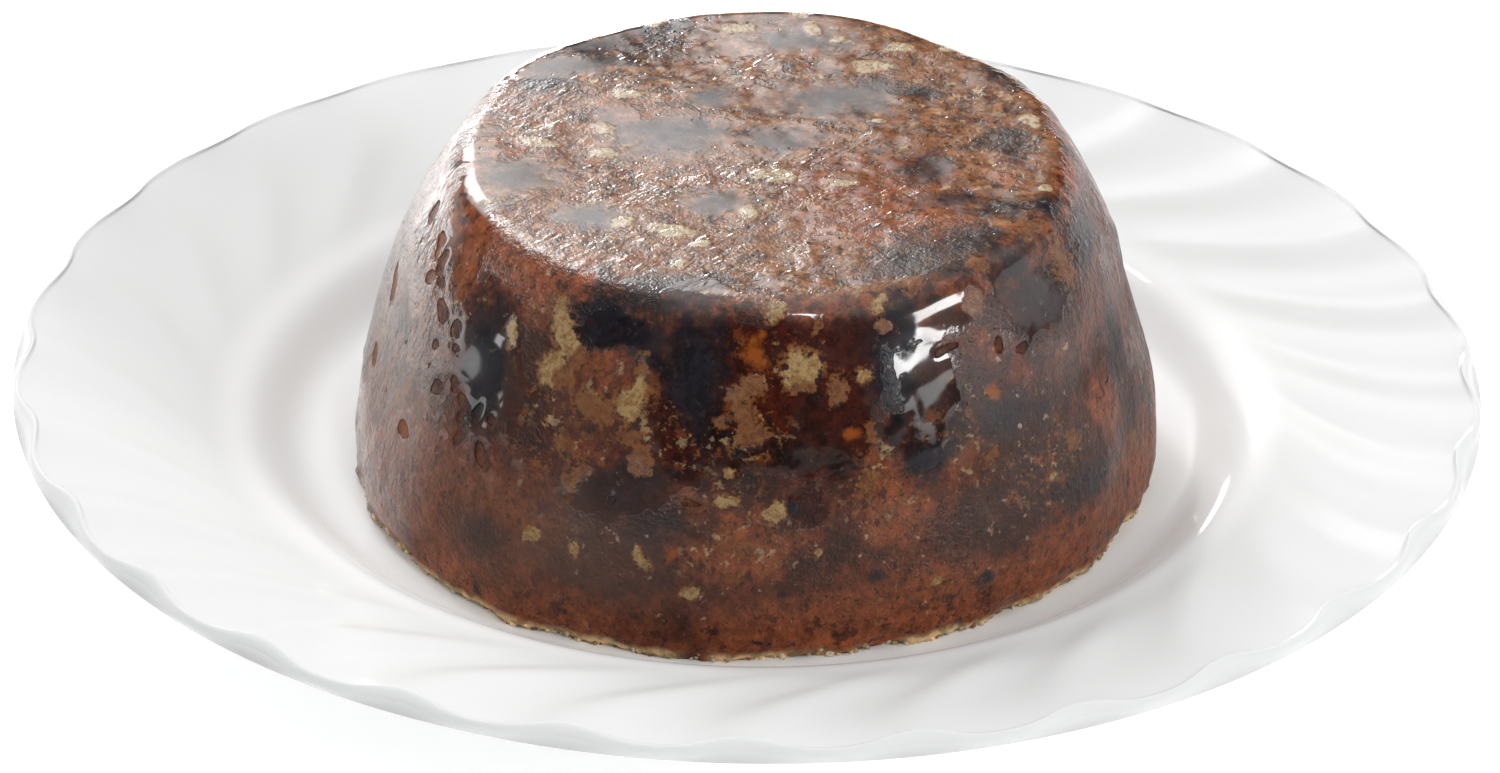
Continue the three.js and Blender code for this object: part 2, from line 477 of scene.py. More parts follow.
def syrup_relief(look, film, closed, lively):
    """The syrup's slow ripples and upright runs, its pits and dents, and the edge of its film."""
    side = look.scaled(look.mask("pale"), -0.65, 1.0)
    runny = look.times(look.mask("upright"), lively)
    drawn_down = look.vector("MULTIPLY", look.place, (1, 1, 0.5))
    pit = look.pieces(1.5, 0.35, look.warped(1.0, 0.25), 0.71, 0.10, 0.10, 0.26)
    dent = look.pieces(2.2, 0.45, look.warped(1.2, 0.5), 0.53, 0.16, 0.12, 0.34)
    return look.relief(
        None,
        (look.noise(3.4), 0.45, look.times(lively, side, 0.5)),
        (look.noise(1.5, detail=4, roughness=0.6, place=drawn_down), 0.8, runny),
        (look.rest(pit), 0.20, lively),
        (look.rest(dent), 0.50, runny),
        (film, 0.10, look.times(lively, side)),
        (closed, 0.35, 1.0),
    )


def streak_relief(look, skin, lively):
    """Fine ridges and beads on the top, drawn out in one direction."""
    turn = {"Vector": look.place, "Angle": -STREAK_ANGLE}
    turned = look.add("ShaderNodeVectorRotate", turn, rotation_type="Z_AXIS").outputs[0]
    along = look.vector("MULTIPLY", turned, STREAK_STRETCH)
    strength = look.times(look.mask("streak"), lively)
    ridge = look.noise(1.3, detail=3, roughness=0.55, distortion=0.4, place=along)
    bead = look.pieces(1.3, 0.45, look.warped(1.0, 0.3, along), 0.37, 0.2, 0.2, 0.42)
    return look.relief(skin, (ridge, 0.50, strength), (bead, 0.16, strength))


def grit_relief(look, skin, film, lively):
    """The grain of the nuts, and the grit of the crumb where no syrup covers it."""
    upper = look.mask("pale")
    nut = look.times(look.between(look.mask("nut"), 0.3, 0.5), look.scaled(upper, -0.85, 1.0))
    bare = look.times(look.rest(film), look.scaled(upper, -0.65, 1.0))
    bare = look.math("MAXIMUM", bare, look.mask("upright"))
    return look.relief(
        skin,
        (look.noise(0.7, detail=3, roughness=0.7), 0.5, nut),
        (look.noise(0.55, roughness=0.65), 0.30, look.times(bare, lively)),
    )


def pudding_material():
    look = Shader("dark_pudding")
    lively = look.rest(look.mask("smooth"))
    closed = look.rest(look.between(look.mask("pit"), 0.42, 0.56))
    uneven = look.scaled(look.noise(1.8, detail=3), 0.7, -0.35)
    film = look.between(look.sum(look.mask("film"), uneven), 0.46, 0.54)
    film = look.times(film, closed)
    skin = streak_relief(look, syrup_relief(look, film, closed, lively), lively)
    skin = grit_relief(look, skin, film, lively)
    sheen = look.scaled(film, -0.12, 0.32)
    look.set(
        base_color=pudding_colour(look),
        roughness=look.scaled(look.mask("haze"), 0.04, sheen),
        normal=skin,
        ior=1.43,
        specular_ior_level=0.15,
        subsurface_weight=0.12,
        subsurface_radius=(1.2, 0.4, 0.2),
        subsurface_scale=0.001,
        coat_weight=look.times(look.mask("wet"), closed),
        coat_roughness=0.05,
        coat_ior=1.7,
        coat_normal=skin,
    )
    return look.material


def granule_material():
    """The loose grains along the foot: amber, tan and olive, a shade for each grain, painted pale as
    painted light.
    """
    look = Shader("foot_granules")
    shade = look.mask("shade")
    colour = look.layered(
        LIT_OLIVE,
        (look.between(shade, 0.20, 0.30), ORANGE_BROWN),
        (look.between(shade, 0.45, 0.55), LIT_FOOT_AMBER),
        (look.between(shade, 0.72, 0.80), PALE_CREAM),
    )
    look.set(
        base_color=look.dimmed(colour, look.cloud(0.3, 0.3, 0.7, 0.7, 1.3)),
        roughness=look.cloud(0.4, 0.3, 0.7, 0.12, 0.35),
        normal=look.bump(look.noise(0.25), 0.06),
        ior=1.45,
        coat_weight=0.6,
        coat_roughness=0.05,
    )
    return look.material


# ---- plate

PLATE_RADIUS = 101.5
LIP_HEIGHT = 17.7
LIP_THICKNESS = 2.3
FLOOR_HEIGHT = 5.3
FLOOR_THICKNESS = 3.3
FLOOR_RADIUS = 61.0
SHOULDER_RADIUS = 70.6
SHOULDER_HEIGHT = 10.7
WALL_THICKNESS = 3.6
FOOT_RADIUS = 60.0
FOOT_WIDTH = 2.6
LOBES = 28
STEPS_A_LOBE = 20
CREASE_INSET = 1.8
CREASE_RISE = 0.75
CREASE_SHARPNESS = 1.4
SWIRL = radians(18.7)
SWIRL_POWER = 2.3
RIM_FADE = 5.0  # over which the well's gloss turns into the rim's softer one
GLAZE_SOFTENING = 2.6  # how far, along the radius, the glaze rounds the well's corners


def lerp(a, b, share):
    return a + (b - a) * share


def plate_profile():
    """Rows of [radius, height, rise, pull, swirl], from the underside round the lip to the middle."""
    under_floor = FLOOR_HEIGHT - FLOOR_THICKNESS
    under_lip = LIP_HEIGHT - LIP_THICKNESS
    middle = (lerp(SHOULDER_RADIUS, PLATE_RADIUS, 0.5), lerp(SHOULDER_HEIGHT, LIP_HEIGHT, 0.55) - 3.2)
    rows = [(r, under_floor, 0, 0, 0) for r in np.linspace(1, FOOT_RADIUS - FOOT_WIDTH, 12)]
    corners = [
        (FOOT_RADIUS - FOOT_WIDTH / 2, 0),
        (FOOT_RADIUS + FOOT_WIDTH / 2, 0),
        (FOOT_RADIUS + FOOT_WIDTH, under_floor + 0.6),
        (SHOULDER_RADIUS + 2, SHOULDER_HEIGHT - WALL_THICKNESS),
        middle,
        (PLATE_RADIUS - 0.7, under_lip),
        (PLATE_RADIUS, under_lip + 0.5),
    ]
    for (r0, h0), (r1, h1) in itertools.pairwise(corners):
        steps = max(2, round(hypot(r1 - r0, h1 - h0) / 3))
        rows += [(lerp(r0, r1, i / steps), lerp(h0, h1, i / steps), 0, 0, 0) for i in range(steps)]
    rows += [(PLATE_RADIUS, under_lip + 0.5, 0, 0, 0)]
    for share in np.linspace(0, 1, 9):
        angle = share * pi / 2
        out = PLATE_RADIUS - 0.8 * (1 - cos(angle))
        up = lerp(under_lip + 0.5, LIP_HEIGHT, lerp(0.35, 1, sin(angle)))
        rows.append((out, up, 0.6 + 0.4 * share, 0.6 + 0.4 * share, 0))
    for share in np.linspace(0.965, 0, 44):
        out = lerp(SHOULDER_RADIUS, PLATE_RADIUS, share)
        up = lerp(SHOULDER_HEIGHT, LIP_HEIGHT, share**0.9)
        rows.append((out, up, smooth(share / 0.5), share**6, SWIRL * (1 - share) ** SWIRL_POWER))
    for share in np.linspace(0.96, 0, 24):
        up = lerp(FLOOR_HEIGHT, SHOULDER_HEIGHT, smooth(share))
        rows.append((lerp(FLOOR_RADIUS, SHOULDER_RADIUS, share), up, 0, 0, SWIRL))
    for start, end, count in ((FLOOR_RADIUS - 0.5, FLOOR_RADIUS - 8, 16), (FLOOR_RADIUS - 12, 1, 8)):
        rows += [(r, FLOOR_HEIGHT, 0, 0, SWIRL) for r in np.linspace(start, end, count)]
    return rounded(np.array(rows, float))


def rounded(rows):
    """The same rows, with the corners at the well's shoulder and floor rounded by the glaze."""
    near = (rows[:, 0] > FLOOR_RADIUS - 10) & (rows[:, 0] < PLATE_RADIUS - 8)
    near &= rows[:, 1] > FLOOR_HEIGHT - 0.01
    near &= np.arange(len(rows)) > np.argmax(rows[:, 1])
    radius, height = rows[near][::-1, 0], rows[near][::-1, 1]
    steps = np.linspace(-1, 1, 9) * GLAZE_SOFTENING
    weight = 1 - (steps / GLAZE_SOFTENING) ** 2 * 0.9
    levels = np.array([np.interp(radius + step, radius, height) for step in steps])
    inner = smooth((radius - radius[0]) / 4) * smooth((radius[-1] - radius) / 4)
    soft = height + inner * ((weight[:, None] * levels).sum(0) / weight.sum() - height)
    rows[near, 1] = soft[::-1]
    return rows


def build_plate():
    columns = LOBES * STEPS_A_LOBE
    angle = np.arange(columns) * 2 * pi / columns
    radius, height, rise, pull, swirl = (column[:, None] for column in plate_profile().T)
    crease = ((1 + np.cos(angle * LOBES)) / 2) ** CREASE_SHARPNESS
    radius = radius - CREASE_INSET * pull * crease
    turned = angle + swirl
    points = np.stack([
        radius * np.cos(turned),
        radius * np.sin(turned),
        height + CREASE_RISE * rise * (crease - 0.2),
    ], -1)
    rows = len(points)
    faces = ring_faces(rows, columns).tolist()
    faces.append(list(range(columns))[::-1])
    faces.append([(rows - 1) * columns + i for i in range(columns)])
    points = points.reshape(-1, 3)
    on_rim = smooth((np.hypot(points[:, 0], points[:, 1]) - SHOULDER_RADIUS) / RIM_FADE)
    plate = make_object("dinner_plate", points, faces, porcelain(), {"on_rim": on_rim})
    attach(plate, "root")
    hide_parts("plate")


# ---- pudding: its plain form

PUDDING_HEIGHT = 47.4
PUDDING_BASE = 55.0
SIDE = [(0.985, 0), (1, 0.03), (1.007, 0.1), (0.993, 0.25), (0.934, 0.5), (0.868, 0.75), (0.804, 0.9)]
EDGE_CORNER = 42.0
EDGE_ROUNDNESS = 0.72
TOP_RADIUS = 38.8
PUDDING_PLACE = np.array([0.5, -5.1])
LEAN = 0.017
TILT_RISE = 0.029
TILT_ANGLE = radians(74)
REST_GAP = 0.3
SINK = 0.02  # into the plate's glaze
HIGHEST = 54.34  # the solid's highest point, which the relief doesn't pass
FOOT_REACH = 1.5  # below which the relief only pushes sideways
SLUMP_DEPTH = 0.65
SLUMP_CORNERS = 3
SLUMP_ANGLE = radians(-119)
LUMP_DEPTH = 0.22
LUMP_TOP_SHARE = 0.5
LUMP_COUNT = 24
LUMP_SIZES = (14, 36)
CRUMBLY_DEPTH = 0.5
CRUMBLY_HEIGHT = 3.5
CRUMBLY_WAVES = (11, 17, 23, 31, 37)
NOTCH_DEPTH = 1.6
NOTCH_WIDTH = 2.4
NOTCH_HEIGHT = 4
NOTCH_ANGLE = radians(-19)

TOP_CELLS = 150  # along each side of the square that is bent into the round top
COLUMNS = 4 * TOP_CELLS
SIDE_ROWS = 92
EDGE_ROWS = 22


def spline(points, steps):
    """A smooth line through points, as three.js draws it."""
    points = np.array(points, float)
    last = len(points) - 1
    out = []
    for t in np.linspace(0, last, steps):
        i = min(int(t), last - 1)
        w = t - i
        p0, p1, p2, p3 = (points[min(max(k, 0), last)] for k in (i - 1, i, i + 1, i + 2))
        v0, v1 = (p2 - p0) / 2, (p3 - p1) / 2
        cubic = 2 * p1 - 2 * p2 + v0 + v1
        square = 3 * p2 - 3 * p1 - 2 * v0 - v1
        out.append(cubic * w**3 + square * w**2 + v0 * w + p1)
    return out


def side_profile():
    """Rows of [radius, height] from the foot to the flat top."""
    side = [(PUDDING_BASE * out, PUDDING_HEIGHT * up) for out, up in SIDE]
    start, corner, flat = np.array([side[-1], (EDGE_CORNER, PUDDING_HEIGHT), (TOP_RADIUS, PUDDING_HEIGHT)])
    a = lerp(start, corner, EDGE_ROUNDNESS)
    b = lerp(flat, corner, EDGE_ROUNDNESS)
    edge = [
        (1 - t) ** 3 * start + 3 * t * (1 - t) ** 2 * a + 3 * t**2 * (1 - t) * b + t**3 * flat
        for t in np.linspace(0, 1, EDGE_ROWS + 1)
    ]
    return np.array(spline(side, SIDE_ROWS) + edge[1:])


def square_to_disc(a, b):
    """Bends a square from -1 to 1 into a disc. Gives the share of its radius, and the angle."""
    wide = np.abs(a) > np.abs(b)
    share = np.where(wide, a, b)
    safe = np.where(np.abs(share) < 1e-12, 1.0, share)
    angle = np.where(wide, pi / 4 * b / safe, pi / 2 - pi / 4 * a / safe)
    return share, angle


def pudding_grid():
    """The plain turning, as [angle, radius, height] for each point, and its quads."""
    profile = side_profile()
    column_angle = np.arange(COLUMNS) * 2 * pi / COLUMNS - pi / 4
    under = np.array([(TOP_RADIUS * share, 0) for share in (0.02, 0.5, 1)])
    rows = np.vstack([under, profile])
    angle = np.tile(column_angle, len(rows))
    radius = np.repeat(rows[:, 0], COLUMNS)
    height = np.repeat(rows[:, 1], COLUMNS)
    faces = [ring_faces(len(rows), COLUMNS)]

    steps = np.linspace(-1, 1, TOP_CELLS + 1)
    b, a = np.meshgrid(steps, steps, indexing="ij")
    share, disc_angle = square_to_disc(a, b)
    inner = np.ones_like(a, bool)
    inner[[0, -1], :] = inner[:, [0, -1]] = False
    number = np.zeros(a.shape, int)
    number[inner] = len(angle) + np.arange(inner.sum())
    # The square's rim is the last ring of the side.
    rim_angle = (disc_angle + np.where(share < 0, pi, 0) - column_angle[0])[~inner]
    column = np.round(rim_angle * COLUMNS / (2 * pi)).astype(int) % COLUMNS
    number[~inner] = (len(rows) - 1) * COLUMNS + column
    cell_corners = (number[:-1, :-1], number[:-1, 1:], number[1:, 1:], number[1:, :-1])
    faces.append(np.stack(cell_corners, -1).reshape(-1, 4))
    angle = np.concatenate([angle, disc_angle[inner]])
    radius = np.concatenate([radius, TOP_RADIUS * share[inner]])
    height = np.concatenate([height, np.full(inner.sum(), PUDDING_HEIGHT)])
    return angle, radius, height, np.vstack(faces)


def soft_lumps(points):
    draw = seeded_random(7)
    total = np.zeros(len(points))
    depth = LUMP_DEPTH * sqrt(2 / LUMP_COUNT)
    for _ in range(LUMP_COUNT):
        run = np.array([next(draw) - 0.5 for _ in range(3)])
        run *= 2 * pi / lerp(*LUMP_SIZES, next(draw)) / np.linalg.norm(run)
        total += depth * np.sin(points @ run + 2 * pi * next(draw))
    return total


def slumped(angle, radius, height):
    """The pudding's plain form, with the same slump, lumps, foot and notch as the solid's."""
    angle = angle + np.where(radius < 0, pi, 0)
    radius = np.abs(radius)
    lump = soft_lumps(np.stack([radius * np.cos(angle), radius * np.sin(angle), height], -1))
    low = smooth(1 - height / PUDDING_HEIGHT)
    corner = SLUMP_DEPTH * low * np.cos(SLUMP_CORNERS * (angle - SLUMP_ANGLE))
    crumbs = sum(np.sin(wave * angle + wave * wave) for wave in CRUMBLY_WAVES)
    crumbs = crumbs * CRUMBLY_DEPTH / sqrt(len(CRUMBLY_WAVES)) * smooth(1 - height / CRUMBLY_HEIGHT)
    turned = (angle - NOTCH_ANGLE + pi) % (2 * pi) - pi
    bite = NOTCH_DEPTH * np.exp(-((turned * PUDDING_BASE / NOTCH_WIDTH) ** 2))
    bite = bite * smooth(1 - height / NOTCH_HEIGHT)
    outwards = smooth(radius / TOP_RADIUS)
    on_top = smooth(1 - (PUDDING_HEIGHT - height) / (EDGE_CORNER - TOP_RADIUS))
    tilt = TILT_RISE * radius * np.cos(angle - TILT_ANGLE) * height / PUDDING_HEIGHT
    radius = radius + outwards * (corner + lump + crumbs - bite)
    raised = height + LUMP_TOP_SHARE * lump * on_top + tilt
    x = radius * np.cos(angle) + LEAN * raised + PUDDING_PLACE[0]
    y = radius * np.sin(angle) + PUDDING_PLACE[1]
    settle = (REST_GAP + SINK) * smooth(1 - height / 2)
    return np.stack([x, y, raised + FLOOR_HEIGHT + REST_GAP - settle], -1)


# ---- pudding: what shows in its surface

# A patch of the surface. across and down are its middle in the photograph's frame. width and
# height are its size in millimetres over the surface, and turn tilts it, anticlockwise in degrees.
Patch = namedtuple("Patch", "kind across down width height turn", defaults=[0])


def patches(kind, *places):
    """Patches of one kind. Each place is (across, down, width, height), and a turn where it has one."""
    return [Patch(kind, *place) for place in places]


RAISINS = patches(
    "raisin",
    (486, 350, 9.5, 15, 5), (613, 318, 10, 7), (644, 340, 8, 7), (695, 370, 7, 14),
    (604, 496, 16, 8.5, 14), (650, 478, 7, 5), (640, 518, 10, 6, -10), (484, 533, 9, 6, -10),
    (889, 374, 6.5, 12, 10), (905, 345, 7, 5, 10), (927, 461, 6.5, 6), (1005, 416, 9, 6, 15),
    (1041, 413, 5, 4, 15), (1089, 482, 11, 5, 25), (1081, 232, 9, 6, 30), (1112, 345, 7, 10),
    (791, 508, 1.5, 1.2), (874, 572, 2.2, 2), (984, 579, 2.2, 1.8), (912, 258, 14, 9, 24),
    (968, 240, 9, 6, 18), (879, 88, 7, 5), (920, 92, 7, 4), (927, 170, 7, 7), (952, 199, 8, 4, 8),
    (803, 41, 10, 4, -12), (573, 64, 12, 6, 15), (543, 82, 7, 5, 15), (590, 46, 8, 4, 12),
    (715, 202, 8, 5, 8), (672, 134, 11, 9), (770, 142, 8, 6, 8), (831, 100, 13, 7, 6),
    (520, 174, 8, 7), (587, 216, 8, 5, -8), (681, 282, 16, 4.5, 4), (645, 302, 15, 4, 3),
    (905, 305, 8, 5, 24), (1010, 265, 9, 5, 24), (1009, 141, 7, 8), (1005, 55, 5, 5), (709, 97, 5, 5),
    (1003, 208, 9, 5, 18), (948, 262, 10, 5, 20), (1036, 302, 9, 8, 10), (1040, 205, 6, 4, 20),
)
NUTS = patches(
    "nut",
    (563, 328, 3, 7.2, 14), (571, 347, 2.8, 3.2, 10), (553, 366, 4, 4.2, -20),
    (631, 402, 3.8, 3.8, 30), (640, 385, 1.8, 2.8), (512, 335, 1.8, 3.6), (533, 536, 3.4, 2.2),
    (571, 551, 1.4, 2), (639, 557, 1.8, 3.6, 25), (722, 501, 2.4, 1.8), (735, 500, 1.6, 1.4),
    (692, 590, 2.2, 1.6, 20), (805, 368, 4.4, 4.6), (863, 374, 2, 2.6), (773, 511, 1.9, 2.8, -10),
    (726, 471, 1.6, 2), (776, 308, 3, 2.6, 20), (873, 303, 1.7, 1.8), (884, 297, 1.6, 1.8),
    (935, 584, 2.6, 1, 25), (820, 551, 1.8, 1.2), (813, 28, 2.6, 3.6), (738, 28, 4.6, 2.8, 14),
    (653, 23, 3, 3), (870, 66, 5.6, 3.4, -4), (903, 48, 4.6, 3.4), (946, 49, 2.4, 1.6),
    (626, 94, 3.2, 2.6, -6), (538, 142, 5.2, 2.6, -6), (606, 128, 3.4, 2.8), (604, 154, 3, 2.4),
    (775, 175, 4.6, 4.4), (843, 184, 3.4, 2.2), (748, 212, 2.6, 3.6), (624, 220, 3.2, 3),
    (670, 230, 6, 3.4, -8), (704, 246, 3.8, 1.8), (683, 264, 2.2, 2.4), (875, 121, 2, 1.4),
    (1030, 119, 2.6, 3.4), (1046, 187, 1.7, 2), (838, 40, 2.8, 2), (1053, 475, 1.4, 1.4),
    (356, 434, 3.2, 2.6),
)
TOASTED_NUTS = patches(
    "toasted",
    (576, 355, 2.2, 3, 20), (561, 374, 2.4, 2.6), (644, 372, 2.2, 3), (588, 408, 3.4, 3.2, 30),
    (604, 412, 1.8, 2.6), (628, 436, 3.6, 2, 10), (643, 460, 2.6, 3.4), (565, 444, 2.2, 2.8),
    (574, 478, 2.6, 3.2, 10), (584, 470, 1.8, 3), (487, 499, 1.2, 2, -30), (806, 388, 2.6, 2),
    (835, 392, 2, 3.4, -20), (742, 411, 2.8, 4.2), (722, 423, 2.4, 1.8, 20),
    (750, 437, 5.2, 1.8, 16), (754, 383, 2.4, 1.6, -20), (870, 434, 1.6, 2.6, 30),
    (867, 483, 2.4, 3), (815, 326, 1.2, 2), (881, 325, 1.4, 1.6), (975, 302, 2.6, 3.2),
    (1062, 262, 3.4, 5.6, 15), (1072, 439, 2.6, 2.4), (1132, 444, 3, 3.8), (992, 455, 3, 1.4, 15),
    (744, 552, 2.4, 1.8), (768, 306, 2.4, 2.4), (912, 285, 2.2, 2.6), (977, 262, 3.2, 2, 12),
    (1030, 228, 4.2, 1.8, 24), (459, 173, 2.6, 2.8), (454, 191, 2, 2.6), (449, 210, 2.6, 2.4),
    (847, 67, 2, 1.8), (927, 56, 3.4, 3.2), (551, 128, 4, 3, -6), (690, 91, 3.2, 1.6, 10),
    (750, 150, 5.4, 2.8, -8), (748, 124, 4.4, 1.8, 4), (692, 181, 4.4, 2.6, -10),
    (640, 203, 6.4, 1.8, 8), (529, 195, 3, 2.4), (912, 143, 3.6, 3.2), (878, 137, 3.4, 3),
    (868, 167, 4.2, 0.9, -36), (903, 100, 3, 2.2), (845, 178, 3.8, 3.4), (1040, 163, 3.2, 5, -20),
    (808, 258, 2.6, 4), (852, 260, 2.4, 3.4), (786, 223, 2.6, 2.8), (711, 24, 3, 1.8),
)
PEEL_BITS = patches(
    "peel",
    (757, 351, 2.6, 3.6), (764, 333, 1.3, 1.2), (851, 434, 1.5, 1.3, 30), (675, 553, 2.2, 1, 45),
    (994, 392, 2, 2.2), (1006, 180, 2.4, 4), (647, 115, 2.6, 1.6, 20), (519, 149, 2.2, 1.8),
    (404, 431, 1.8, 0.9, -30), (394, 286, 1.6, 2.6), (640, 452, 2, 2.6),
)
# Where the crumb glows amber.
AMBERS = patches(
    "amber",
    (965, 462, 10, 4.5), (984, 350, 5, 3), (910, 505, 8, 8), (600, 345, 8, 5),
    (545, 292, 18, 5.5, -25), (480, 262, 6, 9), (740, 555, 9, 5), (1126, 492, 8, 9),
    (1070, 545, 16, 7, 24), (900, 612, 34, 7, 12), (880, 200, 18, 18), (1104, 402, 6, 5),
)
# Where the clear syrup is red.
REDS = patches(
    "red",
    (815, 332, 24, 6), (765, 345, 8, 8), (850, 350, 12, 6), (850, 400, 7, 9), (800, 500, 8, 5),
    (910, 505, 3.4, 4.4), (660, 432, 6, 8), (760, 400, 7, 6), (715, 335, 6, 5),
)
# Where the crumb is darkest.
DEEPS = patches(
    "deep",
    (700, 455, 9, 7), (735, 332, 9, 5), (640, 300, 16, 5, -6), (520, 395, 8, 10), (860, 330, 6, 5),
    (1030, 470, 18, 9, 10), (1000, 520, 14, 7, 10), (960, 400, 12, 10), (600, 560, 12, 7),
    (1030, 285, 13, 10, 10), (1062, 462, 12, 9, 10),
)
# Where the syrup is clear and shows the dark inside. Elsewhere the side's syrup is duller, and a pale
# sheen is painted over it as painted reflection.
CLEARS = patches(
    "clear",
    (782, 372, 25, 17), (700, 400, 13, 20), (770, 440, 22, 13), (836, 440, 9, 12),
    (684, 464, 5.5, 5), (803, 507, 5.5, 6.5, 30), (880, 350, 12, 12), (930, 420, 12, 12),
    (600, 325, 16, 6), (484, 372, 8, 12),
)
# Where the syrup lies smooth and gives clean reflections.
SMOOTHS = patches(
    "smooth",
    (488, 350, 8, 13, 5), (930, 313, 11, 5.5, 20), (927, 372, 6, 6), (934, 404, 5, 5),
    (1022, 290, 7, 9, 20), (668, 136, 15, 10), (515, 176, 12, 9), (478, 175, 5, 22),
    (770, 142, 9, 6, 8), (831, 100, 15, 7, 6), (803, 43, 9, 4, -8), (570, 66, 10, 4, 14),
    (709, 97, 6, 5), (587, 216, 8, 5, -8), (715, 202, 8, 5, 8), (619, 117, 5, 6), (463, 225, 7, 8),
    (620, 490, 12, 6, 10), (690, 365, 8, 14), (830, 303, 16, 2.4, 3),
)
# Where the crumb breaks through the syrup and sparkles.
SPARKLES = patches(
    "rough",
    (944, 228, 8, 4, 15), (905, 258, 10, 5, 24), (963, 335, 4.5, 4), (900, 340, 4.5, 4),
    (900, 372, 4, 7), (1010, 417, 13, 6, 8), (957, 444, 4, 4), (1051, 475, 5, 5),
    (600, 160, 26, 26), (640, 240, 26, 14, 8), (885, 84, 7, 5), (930, 560, 40, 12, 12),
    (700, 560, 30, 12), (1110, 450, 6, 14), (640, 520, 10, 5), (760, 306, 4, 3),
    (1060, 470, 16, 14, 10), (985, 345, 9, 8), (1050, 385, 9, 9),
)
# Drops and small open pits in the syrup.
PITS = patches(
    "pit",
    (433, 213, 1.8, 3.2, 10), (442, 238, 2.4, 1.6), (438, 250, 1.3, 2.4, 8), (444, 263, 2.2, 4),
    (432, 276, 3.2, 2), (441, 285, 1.6, 2.2), (442, 309, 3.4, 2.4, -20), (456, 330, 2.4, 2.2),
    (436, 345, 1.8, 2.2), (453, 350, 1.6, 1.2), (406, 343, 1.1, 0.8), (429, 365, 1, 0.8),
    (437, 389, 2.4, 2), (456, 384, 1.7, 2.6, 25), (464, 402, 1.7, 3.2, 35),
    (476, 413, 2.6, 1.8, 50), (481, 454, 1.8, 3.4, 35), (492, 424, 1.4, 1.4), (459, 421, 1.6, 1.6),
    (458, 436, 1.6, 1.8), (394, 284, 2.6, 5.4), (373, 360, 2.4, 3.6), (404, 431, 3.4, 1.8, -30),
    (1001, 343, 1.9, 1.9), (1021, 348, 1.5, 1.5), (1027, 340, 0.9, 0.9), (947, 352, 4.2, 1, 30),
    (690, 505, 2, 0.9), (694, 534, 2.6, 0.7), (610, 497, 1.6, 1.2),
)
# Where small pieces of nut and crumb crowd together.
CROWDS = patches(
    "crowd",
    (640, 420, 16, 12), (575, 450, 12, 14), (600, 405, 10, 8), (740, 425, 9, 6), (770, 345, 10, 6),
    (470, 285, 8, 9), (530, 285, 12, 5, -20), (950, 450, 12, 8), (1040, 460, 10, 10),
    (735, 505, 12, 6), (745, 550, 12, 6), (885, 485, 8, 9),
)
CRUMB_AND_FRUIT = RAISINS + NUTS + TOASTED_NUTS + PEEL_BITS + AMBERS + REDS + DEEPS
SEEN = CRUMB_AND_FRUIT + CLEARS + SMOOTHS + SPARKLES + PITS + CROWDS

# The same mix, spread at random over what the photograph doesn't show: how many, how large, and how
# far noise moves the outline of this kind, as a share of its size.
Mix = namedtuple("Mix", "kind count smallest largest ragged")
UNSEEN = [
    Mix("raisin", 26, 6, 13, 0.5),
    Mix("nut", 34, 1.8, 5.0, 0.5),
    Mix("toasted", 42, 1.8, 4.6, 0.8),
    Mix("peel", 12, 1.8, 3.2, 0.5),
    Mix("amber", 10, 8, 18, 0.6),
    Mix("red", 14, 5, 10, 0.5),
    Mix("deep", 8, 7, 16, 0.6),
    Mix("clear", 12, 8, 20, 0.35),
    Mix("smooth", 18, 5, 14, 0.5),
    Mix("rough", 10, 5, 16, 0.5),
    Mix("pit", 44, 1.0, 3.2, 0.3),
    Mix("crowd", 14, 7, 15, 0.5),
]
HIDDEN_FACING = 0.12  # a surface that turns away from the camera more than this isn't shown


def place_patches(points, normals, faces):
    """Each patch as (kind, middle, right, up, width, height) on the surface."""
    tree = BVHTree.FromPolygons(points.tolist(), faces.tolist())
    placed = []
    for patch in SEEN:
        line = sight_line(patch.across, patch.down)
        hit, normal, _, _ = tree.ray_cast(Vector(CAMERA_PLACE), Vector(line))
        if hit is None:
            hit, normal, _, _ = tree.find_nearest(Vector(CAMERA_PLACE + line * CAMERA_DISTANCE))
        size_and_turn = patch.width, patch.height, patch.turn
        placed.append(oriented(patch.kind, np.array(hit), np.array(normal), *size_and_turn))
    draw = np.random.default_rng(11)
    hidden = np.flatnonzero((normals @ CAMERA_BACK < HIDDEN_FACING) & (points[:, 2] > FLOOR_HEIGHT + 3))
    for mix in UNSEEN:
        for at in draw.choice(hidden, mix.count, replace=False):
            width = draw.uniform(mix.smallest, mix.largest)
            height = width * draw.uniform(0.5, 1.1)
            turn = draw.uniform(-60, 60)
            placed.append(oriented(mix.kind, points[at], normals[at], width, height, turn))
    return placed


def oriented(kind, middle, normal, width, height, turn):
    """The patch as place_patches gives it: right and up lie in the surface, and are turned."""
    up = CAMERA_UP - (CAMERA_UP @ normal) * normal
    if np.linalg.norm(up) < 0.2:
        up = CAMERA_RIGHT - (CAMERA_RIGHT @ normal) * normal
    up /= np.linalg.norm(up)
    right = np.cross(up, normal)
    c, s = cos(radians(turn)), sin(radians(turn))
    return kind, middle, right * c + up * s, up * c - right * s, width, height


